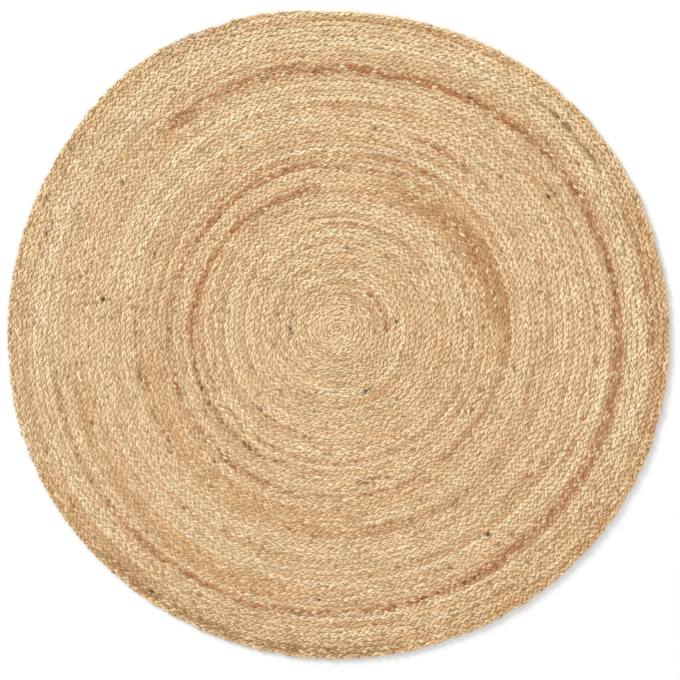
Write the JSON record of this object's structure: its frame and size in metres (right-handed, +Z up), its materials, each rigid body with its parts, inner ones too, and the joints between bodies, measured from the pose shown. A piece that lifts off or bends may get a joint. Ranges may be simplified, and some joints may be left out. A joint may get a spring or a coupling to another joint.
{
  "type": "round jute rug",
  "caption": "Flat round floor rug of braided jute, coiled outwards from its middle and sewn edge to edge, with a slightly uneven rim and tapered braid ends.",
  "frame": {"origin": "on the underside, at the middle of the rug's bounding box", "axes": "+Z up through the rug's thickness; +Y towards the stretch of rim where the braids end"},
  "size_m": [1.2064, 1.181, 0.009],
  "materials": {
    "jute": "matt natural jute fibre, straw to tan with rust-brown stretches and dark flecks"
  },
  "bodies": {
    "root": {"braided_coil": "jute"}
  },
  "joints": []
}
